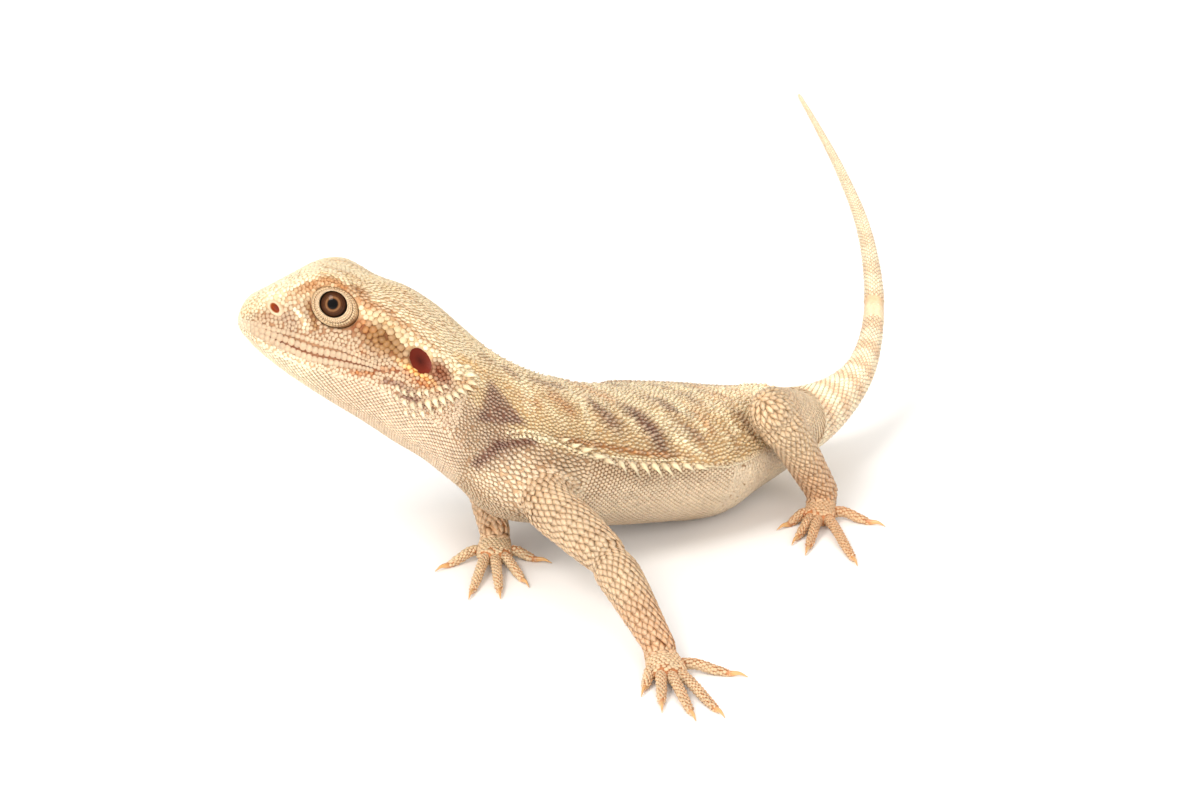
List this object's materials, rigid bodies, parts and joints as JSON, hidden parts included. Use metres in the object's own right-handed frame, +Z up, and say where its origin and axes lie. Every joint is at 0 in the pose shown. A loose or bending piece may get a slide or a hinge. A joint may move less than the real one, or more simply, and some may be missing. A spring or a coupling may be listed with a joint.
{
  "type": "bearded dragon",
  "caption": "Still life-size model of a juvenile bearded dragon lying alert on its belly and four feet, head raised and turned, tail lifted.",
  "frame": {"origin": "on the floor, at the middle of the flat patch under the belly", "axes": "+Z up; the animal looks along -Y and its tail runs towards +Y; its left side is +X"},
  "size_m": [0.1138, 0.1311, 0.0377],
  "materials": {
    "hide": "matt scaly hide, cream and tan with grey-brown blotches",
    "tail_hide": "matt scaly hide, cream with soft pinkish-brown bands",
    "limb_hide": "matt keeled scales, pinkish tan",
    "foot_hide": "matt small scales, orange tan",
    "claw": "smooth translucent horn, amber",
    "eye": "wet glossy eye, brown and golden iris",
    "eardrum": "thin glossy membrane, dark maroon"
  },
  "bodies": {
    "root": {"head": "hide", "lower_jaw": "hide", "neck": "hide", "trunk": "hide", "tail_1": "tail_hide", "tail_2": "tail_hide", "tail_3": "tail_hide", "tail_4": "tail_hide", "eye_left": "eye", "eardrum_left": "eardrum", "upper_arm_left": "limb_hide", "forearm_left": "limb_hide", "thigh_left": "limb_hide", "shank_left": "limb_hide", "hand_left": "foot_hide", "hand_left_claw_1": "claw", "hand_left_claw_2": "claw", "hand_left_claw_3": "claw", "hand_left_claw_4": "claw", "hand_left_claw_5": "claw", "foot_left": "foot_hide", "foot_left_claw_1": "claw", "foot_left_claw_2": "claw", "foot_left_claw_3": "claw", "foot_left_claw_4": "claw", "foot_left_claw_5": "claw", "eye_right": "eye", "eardrum_right": "eardrum", "upper_arm_right": "limb_hide", "forearm_right": "limb_hide", "thigh_right": "limb_hide", "shank_right": "limb_hide", "hand_right": "foot_hide", "hand_right_claw_1": "claw", "hand_right_claw_2": "claw", "hand_right_claw_3": "claw", "hand_right_claw_4": "claw", "hand_right_claw_5": "claw", "foot_right": "foot_hide", "foot_right_claw_1": "claw", "foot_right_claw_2": "claw", "foot_right_claw_3": "claw", "foot_right_claw_4": "claw", "foot_right_claw_5": "claw"}
  },
  "joints": []
}
